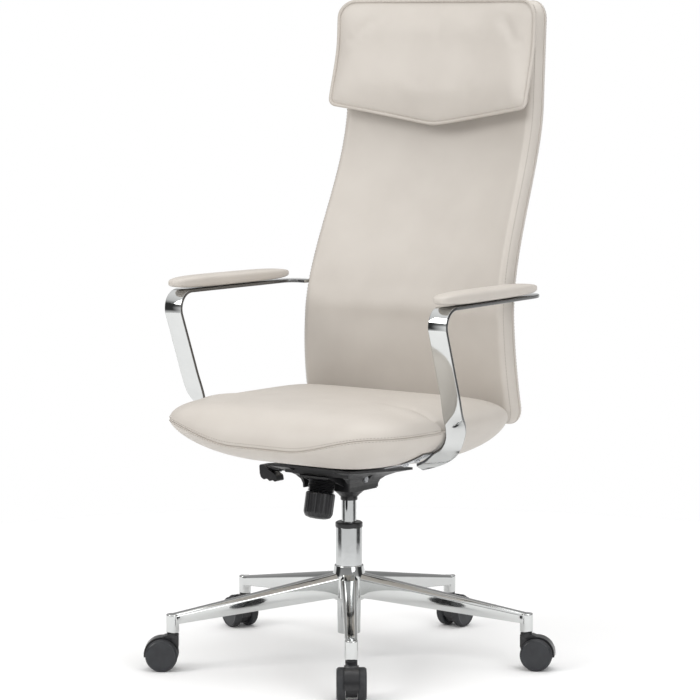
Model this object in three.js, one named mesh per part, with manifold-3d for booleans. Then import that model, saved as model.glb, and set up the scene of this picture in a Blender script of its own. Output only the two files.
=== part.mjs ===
// A high-back swivel office chair: five-legged chrome base on twin-wheel casters, gas lift,
// rocking mechanism with a tension knob and one lever, lens-shaped leather seat, chrome flat-bar
// arms with leather pads, and an S-shaped leather back with a piped head pillow.
//
// Millimetres, +Z up. The chair faces -Y and the sitter's left is +X. The origin is on the floor
// under the middle of the whole chair. The lift's column stands a little in front of it.

import * as THREE from "three";
import { mergeVertices } from "three/addons/utils/BufferGeometryUtils.js";
import Module from "manifold-3d";

const wasm = await Module();
wasm.setup();

const { degToRad, lerp, smoothstep } = THREE.MathUtils;

// ---------------------------------------------------------------- driving dimensions

const COLUMN_Y = -28; // the lift's axis, from the origin
const GAP = 0.3; // between hard pieces that touch
const SOFT_GAP = 1; // between padded pieces that touch
const WELD = 1e-4; // vertices nearer than this are one

// Base star
const LEG_COUNT = 5;
const BASE_RADIUS = 345; // column axis to caster stem
const BASE_TURN = 36.7; // degrees from straight ahead to the first leg
const LEG_START = 26;
const LEG_TOP = [163, 105]; // at the hub, at the tip
const LEG_HEIGHT = [45, 19];
const LEG_WIDTH = [33, 22];
const SOCKET = { radius: 12, bottom: 70, top: 105 };
const STEM_RADIUS = 5.5;
const STEM_BORE_TOP = 101;
const STEM_SIDES = 10;

// Casters
const WHEEL_RADIUS = 30; // to the flat of each side
const WHEEL_SIDES = 18;
const WHEEL_THICKNESS = 16.5;
const WHEEL_GAP = 22; // between the two wheels of one caster
const WHEEL_TRAIL = 20; // stem axis to wheel axis
const AXLE_RADIUS = 4;
const AXLE_SIDES = 8;
const CASTER_TURN = [0, 8, -2, -3, -19]; // degrees that each caster is turned from radial

// Gas lift
const TUBE_RADIUS = 25;
const TUBE_SIDES = 25;
const TUBE_TOP = 250;
const TUBE_BOTTOM = 48;
const HUB_TOP = 178;
const CYLINDER_RADIUS = 14;
const CYLINDER_BOTTOM = 98;
const CYLINDER_TOP = 335;
const PISTON_RADIUS = 5;

// Mechanism
const HOUSING_HALF_WIDTH = 50;
const TILT_AXLE = { y: -30, z: 349, radius: 5 };
const LEVER_AXIS_Z = 346;
const LEVER_ROD_RADIUS = 3.5;
const TENSION = { y: -84, z: 349, lean: 12.7 }; // a point on the bolt's axis, and its lean
const PLATE = { halfWidth: 95, front: -126, rear: 73, top: 367.9, thickness: 4 };
const SEAT_PITCH = 0.078; // fall of the seat plate towards the rear

// Seat
const SEAT_HALF_WIDTH = 271;
const SEAT_CENTRE_Y = -60;
const SEAT_FRONT = 221; // reach forward of the seat's centre
const SEAT_REAR = 248; // reach behind it
const SEAT_CROWN = 500;
const SEAM_FRONT = 430; // seam height at the front, and at the sides
const SEAM_SIDE = 461;

// Back
const BACK_BOTTOM = 437;
const BACK_TOP = 1236;
const BACK_HALF_THICKNESS = 25; // at its sides
const SHELL_THICKNESS = 18;

// Arms
const BAR_THICKNESS = 6;
const BAR_HALF_WIDTH = 20;
const RAIL_Z = 689; // middle of the bar under the pad
const RAIL_FRONT = { x: 302, y: -116 };
const RAIL_REAR = { x: 290.5, y: 156 };
const FRONT_BEND_RADIUS = 32;
const REAR_BEND_RADIUS = 40;
const LEG_SLANT = 110; // degrees that the bar turns through at the front bend

// ---------------------------------------------------------------- materials

function finish(color, roughness, metalness) {
  return () => new THREE.MeshStandardMaterial({ color, roughness, metalness });
}

const leather = finish(0xd9d0c8, 0.5, 0);
const chrome = finish(0xd8d8d6, 0.12, 1);
const steel = finish(0x9a9a9a, 0.35, 1);
const blackPlastic = finish(0x1b1c1f, 0.5, 0);
const blackSteel = finish(0x151516, 0.4, 0.4);
const tread = finish(0x26282c, 0.65, 0);

// ---------------------------------------------------------------- solids

function signedVolume(geometry) {
  const position = geometry.getAttribute("position");
  const corners = [new THREE.Vector3(), new THREE.Vector3(), new THREE.Vector3()];
  const index = geometry.index.array;
  let volume = 0;
  for (let i = 0; i < index.length; i += 3) {
    corners.forEach((corner, k) => corner.fromBufferAttribute(position, index[i + k]));
    volume += corners[0].dot(corners[1].cross(corners[2])) / 6;
  }
  return volume;
}

// The same surface with shared vertices merged, empty triangles dropped and its faces out.
function closed(geometry) {
  const loose = geometry.index ? geometry.toNonIndexed() : geometry;
  const bare = new THREE.BufferGeometry();
  bare.setAttribute("position", loose.getAttribute("position"));
  const merged = mergeVertices(bare, WELD);
  const corners = merged.index.array;
  const kept = [];
  for (let i = 0; i < corners.length; i += 3) {
    const [a, b, c] = corners.slice(i, i + 3);
    if (a !== b && b !== c && c !== a) kept.push(a, b, c);
  }
  merged.setIndex(kept);
  if (signedVolume(merged) < 0) merged.setIndex(kept.reverse());
  return merged;
}

function toSolid(geometry) {
  const shape = closed(geometry);
  return new wasm.Manifold(
    new wasm.Mesh({
      numProp: 3,
      vertProperties: new Float32Array(shape.getAttribute("position").array),
      triVerts: new Uint32Array(shape.index.array),
    }),
  );
}

function toGeometry(solid) {
  const mesh = solid.getMesh();
  const geometry = new THREE.BufferGeometry();
  geometry.setAttribute("position", new THREE.BufferAttribute(mesh.vertProperties, 3));
  geometry.setIndex(new THREE.BufferAttribute(mesh.triVerts, 1));
  return geometry;
}

function join(first, ...others) {
  return toGeometry(others.reduce((solid, other) => solid.add(toSolid(other)), toSolid(first)));
}

function cut(first, ...tools) {
  return toGeometry(tools.reduce((solid, tool) => solid.subtract(toSolid(tool)), toSolid(first)));
}

// Moves every vertex of a geometry to the place that map gives for it.
function reshape(geometry, map) {
  const position = geometry.getAttribute("position");
  for (let i = 0; i < position.count; i += 1) {
    const moved = map(new THREE.Vector3().fromBufferAttribute(position, i));
    position.setXYZ(i, moved.x, moved.y, moved.z);
  }
  return closed(geometry);
}

// A solid turned about Z from [radius, height] points that start and end on the axis.
function turned(outline, sides = 20) {
  const points = outline.map(([radius, height]) => new THREE.Vector2(radius, height));
  return closed(new THREE.LatheGeometry(points, sides).rotateX(Math.PI / 2));
}

// A ring turned about Z from a closed outline.
function ring(outline, sides = 20) {
  return turned([...outline, outline[0]], sides);
}

function rod(radius, bottom, top, sides = 16) {
  return turned([[0, bottom], [radius, bottom], [radius, top], [0, top]], sides);
}

// A rod along X through the given point.
function crossRod(radius, fromX, toX, y, z, sides = 16) {
  return rod(radius, fromX, toX, sides).rotateY(Math.PI / 2).translate(0, y, z);
}

function block(fromX, toX, fromY, toY, fromZ, toZ) {
  return new THREE.BoxGeometry(toX - fromX, toY - fromY, toZ - fromZ).translate(
    (fromX + toX) / 2,
    (fromY + toY) / 2,
    (fromZ + toZ) / 2,
  );
}

// A plate with the given [y, z] outline, from one X to another.
function sidePlate(outline, fromX, toX) {
  const shape = new THREE.Shape(outline.map(([y, z]) => new THREE.Vector2(y, z)));
  const plate = new THREE.ExtrudeGeometry(shape, { depth: toX - fromX, bevelEnabled: false });
  return reshape(plate, (p) => p.set(fromX + p.z, p.x, p.y));
}

// Turns a geometry made about a vertical axis into the tension bolt's leaning axis.
function onTensionAxis(geometry) {
  return geometry
    .translate(0, 0, -TENSION.z)
    .rotateX(-degToRad(TENSION.lean))
    .translate(0, TENSION.y, TENSION.z);
}

const mirrored = (geometry) => closed(geometry.clone().scale(-1, 1, 1));

const signedPower = (value, power) => Math.sign(value) * Math.abs(value) ** power;

// ---------------------------------------------------------------- scene

const chair = new THREE.Group();
chair.name = "office_chair";
const upright = new THREE.Group();
upright.position.y = COLUMN_Y;
chair.add(upright);

function piece(name, geometry, material, parent = upright) {
  const mesh = new THREE.Mesh(geometry, material());
  mesh.name = name;
  parent.add(mesh);
  return mesh;
}

// ---------------------------------------------------------------- base

// Heading of a leg, counter-clockwise from +X.
const legHeading = (index) => degToRad(BASE_TURN + (index * 360) / LEG_COUNT - 90);

// One leg along +X: a tapering bar with bevelled top edges.
function leg() {
  const section = new THREE.Shape(
    [[-0.46, 0], [0.46, 0], [0.5, 0.78], [0.32, 1], [-0.32, 1], [-0.5, 0.78]].map(
      ([across, up]) => new THREE.Vector2(across, up),
    ),
  );
  const bar = new THREE.ExtrudeGeometry(section, { depth: 1, bevelEnabled: false });
  return reshape(bar, (p) => {
    const along = p.z;
    const z = lerp(...LEG_TOP, along) - lerp(...LEG_HEIGHT, along) * (1 - p.y);
    return p.set(lerp(LEG_START, BASE_RADIUS, along), p.x * lerp(...LEG_WIDTH, along), z);
  });
}

function baseStar() {
  const { radius, bottom, top } = SOCKET;
  const hub = turned([[0, 112], [28.5, 112], [31, 116], [31, 159], [27.6, HUB_TOP], [0, HUB_TOP]], 25);
  const socket = turned([[0, bottom], [radius, bottom], [radius, top - 2], [radius - 2, top], [0, top]], 14);
  const stemBore = rod(STEM_RADIUS + GAP, bottom - 1, STEM_BORE_TOP, STEM_SIDES);
  const parts = [];
  const taper = [[0, 111], [22.2 + GAP, 111], [25 + GAP, 165], [25 + GAP, 179], [0, 179]];
  const bores = [turned(taper, TUBE_SIDES)];
  for (let i = 0; i < LEG_COUNT; i += 1) {
    const heading = legHeading(i);
    parts.push(leg().rotateZ(heading));
    parts.push(socket.clone().translate(BASE_RADIUS, 0, 0).rotateZ(heading));
    bores.push(stemBore.clone().translate(BASE_RADIUS, 0, 0).rotateZ(heading));
  }
  return cut(join(hub, ...parts), ...bores);
}

piece("base_star", baseStar(), chrome);

// ---------------------------------------------------------------- casters

// Each caster is made about its stem, with the wheels trailing towards +X.
const WHEEL_INNER = WHEEL_GAP / 2;
const WHEEL_OUTER = WHEEL_INNER + WHEEL_THICKNESS;
const AXLE_HALF_LENGTH = 21;

function casterHood() {
  const body = new THREE.Shape();
  body.moveTo(-11, 66);
  body.lineTo(-11, 44);
  body.lineTo(-5, 22);
  body.absarc(WHEEL_TRAIL, WHEEL_RADIUS, 24, degToRad(205), degToRad(360), false);
  body.absarc(WHEEL_TRAIL, WHEEL_RADIUS, 31, degToRad(0), degToRad(72), false);
  body.lineTo(13, 66);
  const outline = body.getPoints(3);
  const depth = WHEEL_GAP - 2 * 0.6;
  const plate = new THREE.ExtrudeGeometry(new THREE.Shape(outline), { depth, bevelEnabled: false });
  const web = plate.rotateX(Math.PI / 2).translate(0, depth / 2, 0);
  const guard = new THREE.Shape();
  guard.absarc(WHEEL_TRAIL, WHEEL_RADIUS, 33.4, degToRad(-8), degToRad(96), false);
  guard.absarc(WHEEL_TRAIL, WHEEL_RADIUS, 31, degToRad(96), degToRad(-8), true);
  const guardWidth = 26;
  const cover = new THREE.ExtrudeGeometry(guard, { depth: guardWidth, bevelEnabled: false, curveSegments: 4 })
    .rotateX(Math.PI / 2)
    .translate(0, guardWidth / 2, 0);
  const axleBore = rod(AXLE_RADIUS + GAP, -20, 20, AXLE_SIDES)
    .rotateX(Math.PI / 2)
    .translate(WHEEL_TRAIL, 0, WHEEL_RADIUS);
  return cut(join(web, cover, rod(11, 60, 69.5, 12)), axleBore, rod(STEM_RADIUS + GAP, 52, 70, STEM_SIDES));
}

// A wheel about Y, its outer face towards +Y, with one flat of its rim at the bottom.
function wheel() {
  const rim = WHEEL_RADIUS / Math.cos(Math.PI / WHEEL_SIDES);
  const bore = AXLE_RADIUS + GAP;
  const outline = [
    [bore, WHEEL_INNER],
    [rim, WHEEL_INNER],
    [rim, WHEEL_OUTER - 3],
    [rim - 3, WHEEL_OUTER],
    [0, WHEEL_OUTER],
    [0, AXLE_HALF_LENGTH + GAP],
    [bore, AXLE_HALF_LENGTH + GAP],
    [bore, WHEEL_INNER],
  ];
  return turned(outline, WHEEL_SIDES)
    .rotateZ(Math.PI / WHEEL_SIDES + Math.PI)
    .rotateX(-Math.PI / 2)
    .translate(WHEEL_TRAIL, 0, WHEEL_RADIUS);
}

for (let i = 0; i < LEG_COUNT; i += 1) {
  const heading = legHeading(i);
  const caster = new THREE.Group();
  caster.position.set(BASE_RADIUS * Math.cos(heading), BASE_RADIUS * Math.sin(heading), 0);
  caster.rotation.z = heading + degToRad(CASTER_TURN[i]);
  upright.add(caster);
  const axle = rod(AXLE_RADIUS, -AXLE_HALF_LENGTH, AXLE_HALF_LENGTH, AXLE_SIDES)
    .rotateX(Math.PI / 2)
    .translate(WHEEL_TRAIL, 0, WHEEL_RADIUS);
  const number = i + 1;
  piece(`caster_hood_${number}`, casterHood(), blackPlastic, caster);
  piece(`caster_stem_${number}`, rod(STEM_RADIUS, 52 + GAP, STEM_BORE_TOP - 1, STEM_SIDES), steel, caster);
  piece(`caster_axle_${number}`, axle, steel, caster);
  piece(`caster_wheel_left_${number}`, wheel(), tread, caster);
  piece(`caster_wheel_right_${number}`, closed(wheel().scale(1, -1, 1)), tread, caster);
}

// ---------------------------------------------------------------- gas lift

const outerTube = ring(
  [
    [PISTON_RADIUS + 0.5, TUBE_BOTTOM],
    [21.5, TUBE_BOTTOM],
    [22.2, 111],
    [TUBE_RADIUS, 165],
    [TUBE_RADIUS, TUBE_TOP],
    [21.1, TUBE_TOP],
    [21.1, 165],
    [18.5, 111],
    [18.5, TUBE_BOTTOM + 4],
    [PISTON_RADIUS + 0.5, TUBE_BOTTOM + 4],
  ],
  TUBE_SIDES,
);
piece("lift_outer_tube", outerTube, chrome);

const bushBore = CYLINDER_RADIUS + GAP;
const guideBush = ring([
  [bushBore, 182],
  [20.8, 182],
  [20.8, TUBE_TOP + GAP],
  [25.8, TUBE_TOP + GAP],
  [25.8, TUBE_TOP + 8],
  [23.5, TUBE_TOP + 10],
  [bushBore, TUBE_TOP + 10],
]);
piece("lift_guide_bush", guideBush, blackPlastic);

const thrustBearing = ring([[5.4, 52.3], [14, 52.3], [14, 58], [5.4, 58]], 16);
piece("lift_thrust_bearing", thrustBearing, steel);
const pistonOutline = [
  [0, 40], [PISTON_RADIUS, 40], [PISTON_RADIUS, 192], [10.5, 192], [10.5, 200], [0, 200],
];
piece("lift_piston_rod", turned(pistonOutline, 16), steel);
piece("lift_retaining_clip", ring([[5.3, 44], [9, 44], [9, 47.7], [5.3, 47.7]], 12), steel);

const pressureTube = ring([
  [5.3, CYLINDER_BOTTOM],
  [CYLINDER_RADIUS, CYLINDER_BOTTOM],
  [CYLINDER_RADIUS, CYLINDER_TOP],
  [3.8, CYLINDER_TOP],
  [3.8, 318],
  [11.5, 318],
  [11.5, CYLINDER_BOTTOM + 6],
  [5.3, CYLINDER_BOTTOM + 6],
]);
piece("lift_pressure_tube", pressureTube, chrome);
piece("lift_valve_pin", rod(3.5, 322, 349, 12), steel);
piece("lift_collar", ring([[bushBore, 301.5], [16, 301.5], [16, 309], [bushBore, 309]]), blackPlastic);

// ---------------------------------------------------------------- mechanism

const axleHole = (radius) => crossRod(radius, -70, 70, TILT_AXLE.y, TILT_AXLE.z, 12);

function mechanismHousing() {
  const inner = HOUSING_HALF_WIDTH - 6;
  const side = [[-58, 326], [20, 326], [20, 348], [0, 354], [-45, 362], [-58, 364]];
  const tray = sidePlate(side, -HOUSING_HALF_WIDTH, HOUSING_HALF_WIDTH);
  const hollow = sidePlate([[-52, 330], [14, 330], [14, 370], [-52, 370]], -inner, inner);
  const bowl = turned([[0, 309.3], [18, 309.3], [20.6, 312.5], [36, 325.5], [36, 326.5], [0, 326.5]]);
  const boss = rod(20, 318, 336);
  const lip = block(-32, 32, -112, -57, 355.5, 359.5);
  const ribs = [-32, 29].map((x) => sidePlate([[-108, 356.5], [-57, 335], [-57, 356.5]], x, x + 3));
  const leverHole = crossRod(4.5, -55, -40, 0, LEVER_AXIS_Z, 12);
  const boltHole = onTensionAxis(rod(9.5, 345, 368, 12));
  const shell = cut(join(tray, bowl, lip, ...ribs), hollow);
  return cut(join(shell, boss), rod(bushBore, 300, 340), axleHole(5.3), leverHole, boltHole);
}

piece("mechanism_housing", mechanismHousing(), blackSteel);

function tiltAxle() {
  const head = crossRod(6.5, 58.4, 62.4, TILT_AXLE.y, TILT_AXLE.z, 6);
  const nut = crossRod(6.5, -62.4, -58.4, TILT_AXLE.y, TILT_AXLE.z, 6);
  return join(crossRod(TILT_AXLE.radius, -64, 62, TILT_AXLE.y, TILT_AXLE.z, 12), head, nut);
}

piece("tilt_axle", tiltAxle(), steel);

const plateTop = (y) => PLATE.top - SEAT_PITCH * y;

// The plate and its two flanks, which hang down beside the housing and flare out to the plate's
// edge. The left flank has a notch that the lever passes through. A skirt closes the front.
function seatPlate() {
  const { halfWidth, front, rear, thickness } = PLATE;
  const low = { z: 329, halfWidth: 54, front: -72, rear: 18 };
  const flared = reshape(new THREE.BoxGeometry(2, 2, 1, 1, 1, 5), (p) => {
    const share = p.z + 0.5;
    const flare = share ** 3;
    const end = p.y < 0 ? lerp(low.front, front, flare) : lerp(low.rear, rear, flare);
    const height = lerp(low.z, plateTop(end) - thickness, share);
    return p.set(p.x * lerp(low.halfWidth, halfWidth, flare), end, height);
  });
  const between = block(-HOUSING_HALF_WIDTH - 0.6, HOUSING_HALF_WIDTH + 0.6, -200, 200, 300, 380);
  const notch = block(-100, -40, -9, 11, 300, 380);
  const pockets = [-100, 58].map((x) => crossRod(10, x, x + 42, TILT_AXLE.y, TILT_AXLE.z, 16));
  const slab = reshape(new THREE.BoxGeometry(2, 2, 2), (p) => {
    const y = p.y < 0 ? front : rear;
    return p.set(p.x * halfWidth, y, plateTop(y) - (p.z < 0 ? thickness + 0.5 : 0));
  });
  const skirt = block(-72, 72, -104, -101, 360.2, 373);
  return cut(join(cut(flared, between, notch, ...pockets), slab, skirt), axleHole(5.3));
}

piece("seat_plate", seatPlate(), blackSteel);

// The bolt, spring, boot and knob stand on one leaning axis. Heights are along it.
const tensionBolt = onTensionAxis(turned([[0, 281], [5, 281], [5, 362], [8, 362], [8, 365], [0, 365]], 12));
piece("tension_bolt", tensionBolt, steel);

function tensionSpring() {
  const turns = 3;
  const stepsPerTurn = 8;
  const steps = turns * stepsPerTurn;
  const radius = 14;
  const [bottom, top] = [295, 349.5];
  const points = [];
  for (let i = 0; i <= steps; i += 1) {
    const angle = (2 * Math.PI * i) / stepsPerTurn;
    const z = lerp(bottom, top, i / steps);
    points.push(new THREE.Vector3(radius * Math.cos(angle), radius * Math.sin(angle), z));
  }
  const section = new THREE.Shape().absarc(0, 0, 2.2, 0, 2 * Math.PI);
  const path = new THREE.CatmullRomCurve3(points);
  const wire = { steps, curveSegments: 3, bevelEnabled: false, extrudePath: path };
  return onTensionAxis(closed(new THREE.ExtrudeGeometry(section, wire)));
}

piece("tension_spring", tensionSpring(), steel);

function springBoot() {
  const [bottom, top] = [326.3, 349.4];
  const folds = 4;
  const outside = [];
  for (let i = 0; i < folds; i += 1) {
    const z = lerp(bottom, top, i / folds);
    const next = lerp(bottom, top, (i + 0.5) / folds);
    outside.push([23, z], [25, next]);
  }
  const inside = [[19.5, top], [19.5, bottom]];
  return onTensionAxis(ring([...outside, [23, top], ...inside], 16));
}

piece("spring_boot", springBoot(), blackPlastic);

const knobOutline = [
  [5.3, 278], [25.5, 278], [27.5, 281], [27.5, 324], [26, 326], [19.5, 326], [19.5, 292], [5.3, 292],
];
piece("tension_knob", onTensionAxis(ring(knobOutline)), blackPlastic);

const yoke = cut(
  join(block(-43, -22, -7, 7, 341, 351.5), block(-43, 8, -7, 7, 349.3, 352.3)),
  crossRod(LEVER_ROD_RADIUS + GAP, -44, -24, 0, LEVER_AXIS_Z, 12),
);
piece("lever_yoke", yoke, blackSteel);
piece("lever_rod", crossRod(LEVER_ROD_RADIUS, -163, -27, 0, LEVER_AXIS_Z, 12), blackSteel);

// A neck on the end of the rod, with a ribbed finger grip that hangs from it.
function leverPaddle() {
  const outline = [
    [-205, 349], [-203, 352], [-196, 352], [-182, 343], [-164, 333], [-162, 323], [-168, 321], [-173, 324],
    [-180, 321], [-187, 326], [-194, 323], [-201, 327], [-204, 334],
  ];
  const shape = new THREE.Shape(outline.map(([x, z]) => new THREE.Vector2(x, z)));
  const grip = new THREE.ExtrudeGeometry(shape, { depth: 22, bevelEnabled: false });
  const neck = crossRod(6, -200, -160, 0, LEVER_AXIS_Z, 12);
  const socket = crossRod(LEVER_ROD_RADIUS + GAP, -163.5, -150, 0, LEVER_AXIS_Z, 12);
  return cut(join(reshape(grip, (p) => p.set(p.x, 11 - p.z, p.y)), neck), socket);
}

piece("lever_paddle", leverPaddle(), blackPlastic);

// ---------------------------------------------------------------- seat

// Distance from the seat's centre to its outline in the direction of the given angle.
function seatReach(angle) {
  const inFront = Math.sin(angle) < 0;
  const depth = inFront ? SEAT_FRONT : SEAT_REAR;
  const power = inFront ? 4.2 : 9;
  const across = Math.abs(Math.cos(angle)) / SEAT_HALF_WIDTH;
  const along = Math.abs(Math.sin(angle)) / depth;
  return (across ** power + along ** power) ** (-1 / power);
}

function seatSeam(x, y) {
  const towardsSide = smoothstep(Math.abs(x), 60, 240);
  const towardsRear = smoothstep(y, -200, -40);
  return lerp(SEAM_FRONT, SEAM_SIDE, Math.max(towardsSide, towardsRear));
}

// The seat's plan: a point on the unit disc becomes a point of the seat.
function seatPlan(p) {
  const share = Math.hypot(p.x, p.y);
  const angle = Math.atan2(p.y, p.x);
  const reach = seatReach(angle) * share;
  const y = SEAT_CENTRE_Y + reach * Math.sin(angle);
  const narrowing = 1 - (0.035 * Math.max(0, y - SEAT_CENTRE_Y)) / SEAT_REAR;
  return { x: reach * Math.cos(angle) * narrowing, y, share };
}

const disc = () => new THREE.SphereGeometry(1, 32, 10).rotateX(Math.PI / 2);

function seatCushion() {
  return reshape(disc(), (p) => {
    const { x, y, share } = seatPlan(p);
    const seam = seatSeam(x, y) + SOFT_GAP / 2;
    const rise = p.z > 1e-6 ? (SEAT_CROWN - seam) * Math.sqrt(Math.max(0, 1 - share ** 5)) : 0;
    return p.set(x, y, seam + rise);
  });
}

// Height of the shell's underside at a share of the way from its middle to its seam.
function shellUnder(share, y, seam) {
  const floor = plateTop(y) + SOFT_GAP;
  return Math.max(floor, seam - (seam - floor) * Math.max(0, 1 - share ** 2.3) ** 0.58);
}

function seatShell() {
  return reshape(disc().scale(1, 1, -1), (p) => {
    const { x, y, share } = seatPlan(p);
    const seam = seatSeam(x, y) - SOFT_GAP / 2;
    const z = p.z < -1e-6 ? shellUnder(share, y, seam) : seam;
    return p.set(x, y, z);
  });
}

piece("seat_cushion", seatCushion(), leather);
piece("seat_shell", seatShell(), leather);

// ---------------------------------------------------------------- back

// Middle of the back's side edge, at height z: forward at the lumbar, then leaning away.
function backSide(z) {
  const foot = 25 * Math.max(0, (620 - z) / 183) ** 2;
  const lean = 0.05 * Math.max(0, z - 640);
  return 187 + foot + lean + 101 * smoothstep(z, 640, 1040);
}

const backHalfWidth = (z) => lerp(245, 224, smoothstep(z, 440, 960));
const backHollow = (z) => lerp(24, 36, smoothstep(z, BACK_BOTTOM, BACK_TOP));

// How far a point of the back lies behind the line between the back's two sides.
const hollowAt = (x, z) => backHollow(z) * (1 - Math.min(1, Math.abs(x) / backHalfWidth(z)) ** 2.2);
const backFront = (x, z) => backSide(z) - BACK_HALF_THICKNESS + hollowAt(x, z);
const backRear = (x, z) => backSide(z) + BACK_HALF_THICKNESS + 1.2 * hollowAt(x, z);
const backSplit = (x, z) => backRear(x, z) - SHELL_THICKNESS;

// A block whose coordinates run from -1 to 1 becomes a slab of the back. Its outline is drawn in
// by `frontInset` at the front face and by `rearInset` at the rear face. `flip` turns the block
// round first, so that two slabs meet in the same facets.
function backSlab(frontInset, rearInset, flip, depthAt) {
  const slab = new THREE.BoxGeometry(2, 2, 2, 6, 2, 14).scale(1, flip, 1);
  return reshape(slab, (p) => {
    const inset = p.y < -0.5 ? frontInset : p.y > 0.5 ? rearInset : 0;
    const middle = (BACK_TOP + BACK_BOTTOM) / 2;
    const z = middle + p.z * ((BACK_TOP - BACK_BOTTOM) / 2 - inset);
    const corner = 1 - 0.07 * Math.abs(p.z) ** 14;
    const x = p.x * corner * (backHalfWidth(z) - inset);
    return p.set(x, depthAt(x, z, p.y), z);
  });
}

const backCushion = backSlab(14, 0, 1, (x, z, side) => {
  const share = [0, 0.45, 1][Math.round(side) + 1];
  return lerp(backFront(x, z), backSplit(x, z) - SOFT_GAP / 2, share);
});
const backShell = backSlab(0, 9, -1, (x, z, side) => {
  const share = [0, 0.6, 1][Math.round(side) + 1];
  return lerp(backSplit(x, z) + SOFT_GAP / 2, backRear(x, z), share);
});
piece("back_cushion", backCushion, leather);
piece("back_shell", backShell, leather);

// The head pillow hangs over the top of the back's face. Its lower edge is a shallow V that
// stands proud of the back.
const PILLOW_GAP = 4; // between the pillow and the back behind it
const PILLOW = { halfWidth: 226, apex: 1000, rise: 34, top: 1235, rim: 4, stand: 29, puff: 18 };

function headPillow() {
  const slab = new THREE.BoxGeometry(2, 2, 2, 8, 2, 5);
  return reshape(slab, (p) => {
    const inset = p.y < -0.5 ? 7 : 0;
    const bottom = PILLOW.apex + PILLOW.rise * Math.abs(p.x) + inset;
    const up = (p.z + 1) / 2;
    const z = lerp(bottom, PILLOW.top - inset, up);
    const corner = 1 - 0.02 * Math.abs(p.z) ** 8;
    const x = p.x * corner * (PILLOW.halfWidth - inset);
    const stand = PILLOW.rim + PILLOW.stand * (1 - smoothstep(z, 1000, 1150));
    const puff = PILLOW.puff * (1 - p.x ** 4) * (1 - p.z ** 4);
    const share = [1, 0.5, 0][Math.round(p.y) + 1];
    return p.set(x, backFront(x, z) - PILLOW_GAP - share * (stand + puff), z);
  });
}

piece("head_pillow", headPillow(), leather);

// ---------------------------------------------------------------- arms

// The bar of the left arm as cross-sections: a centre, half the width across, and the way that
// its outer face looks. It leaves the back's side flat, turns forward as the rail under the pad,
// bends down into the leg, and then twists and folds inward under the seat.
function armSections() {
  const sections = [];
  const add = (centre, across, face) => sections.push({ centre, across, face });
  const vector = (x, y, z) => new THREE.Vector3(x, y, z);
  const up = vector(0, 0, 1);
  const turnX = RAIL_REAR.x - REAR_BEND_RADIUS;
  add(vector(236.5, RAIL_REAR.y + REAR_BEND_RADIUS, RAIL_Z), vector(0, BAR_HALF_WIDTH, 0), up);
  for (let degrees = 90; degrees >= 0; degrees -= 22.5) {
    const out = vector(Math.cos(degToRad(degrees)), Math.sin(degToRad(degrees)), 0);
    const centre = vector(turnX, RAIL_REAR.y, RAIL_Z).addScaledVector(out, REAR_BEND_RADIUS);
    add(centre, out.clone().multiplyScalar(BAR_HALF_WIDTH), up);
  }
  const bendCentre = vector(RAIL_FRONT.x, RAIL_FRONT.y, RAIL_Z - FRONT_BEND_RADIUS);
  const sideways = vector(BAR_HALF_WIDTH, 0, 0);
  for (let degrees = 0; degrees <= LEG_SLANT; degrees += LEG_SLANT / 6) {
    const out = vector(0, -Math.sin(degToRad(degrees)), Math.cos(degToRad(degrees)));
    add(bendCentre.clone().addScaledVector(out, FRONT_BEND_RADIUS), sideways, out);
  }
  // The leg and foot, from the inner edge to the outer edge of the bar.
  const edges = [
    [[279, -104, 530], [319.5, -104, 530]],
    [[276, -92, 494], [317, -90, 494]],
    [[276, -84, 466], [312, -72, 472]],
    [[272, -80, 447], [300, -57, 452]],
    [[261, -77, 430], [281, -45, 424]],
    [[243, -74, 419], [261, -40, 406]],
    [[222, -72, 401.5], [234, -41, 393]],
    [[203, -70, 392.5], [198, -42, 382]],
  ];
  for (const [inner, outer] of edges) {
    const centre = vector(...inner).add(vector(...outer)).multiplyScalar(0.5);
    const across = vector(...outer).sub(vector(...inner)).multiplyScalar(0.5);
    add(centre, across, null);
  }
  const first = sections.length - edges.length;
  for (let i = first; i < sections.length; i += 1) {
    const next = sections[Math.min(i + 1, sections.length - 1)].centre;
    const along = next.clone().sub(sections[i === sections.length - 1 ? i - 1 : i].centre);
    sections[i].face = along.cross(sections[i].across).normalize();
  }
  return sections;
}

function armFrame() {
  const sections = armSections();
  const last = sections.length - 1;
  const bar = new THREE.BoxGeometry(2, 1, last, 1, 1, last);
  return reshape(bar, (p) => {
    const { centre, across, face } = sections[Math.round(p.z + last / 2)];
    return centre.clone().addScaledVector(across, p.x).addScaledVector(face, p.y * BAR_THICKNESS);
  });
}

function armPad() {
  const pad = new THREE.SphereGeometry(1, 16, 8);
  const [front, rear] = [-152, 184];
  const bottom = RAIL_Z + BAR_THICKNESS / 2 + SOFT_GAP / 2;
  const height = 20;
  return reshape(pad, (p) => {
    const y = (front + rear) / 2 + (signedPower(p.y, 0.6) * (rear - front)) / 2;
    const x = lerp(303, 289, (y - front) / (rear - front)) + 24 * signedPower(p.x, 0.7);
    return p.set(x, y, bottom + (height / 2) * (1 + signedPower(p.z, 0.55)));
  });
}

// A steel plate under the shell's flank that the arm's foot is screwed to.
const FOOT_Y = -77;
const flankUnder = (x) => shellUnder(Math.abs(x) / SEAT_HALF_WIDTH, FOOT_Y, SEAM_SIDE);
const BRACKET = { innerX: 150, outerX: 236, front: -96, rear: -58, thickness: 2, drop: 2.2 };

function armBracket() {
  const { innerX, outerX, front, rear, thickness, drop } = BRACKET;
  const plate = new THREE.BoxGeometry(1, 1, 1, 4, 1, 1);
  return reshape(plate, (p) => {
    const x = lerp(innerX, outerX, p.x + 0.5);
    const z = flankUnder(x) - drop + (p.z - 0.5) * thickness;
    return p.set(x, lerp(front, rear, p.y + 0.5), z);
  });
}

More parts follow.
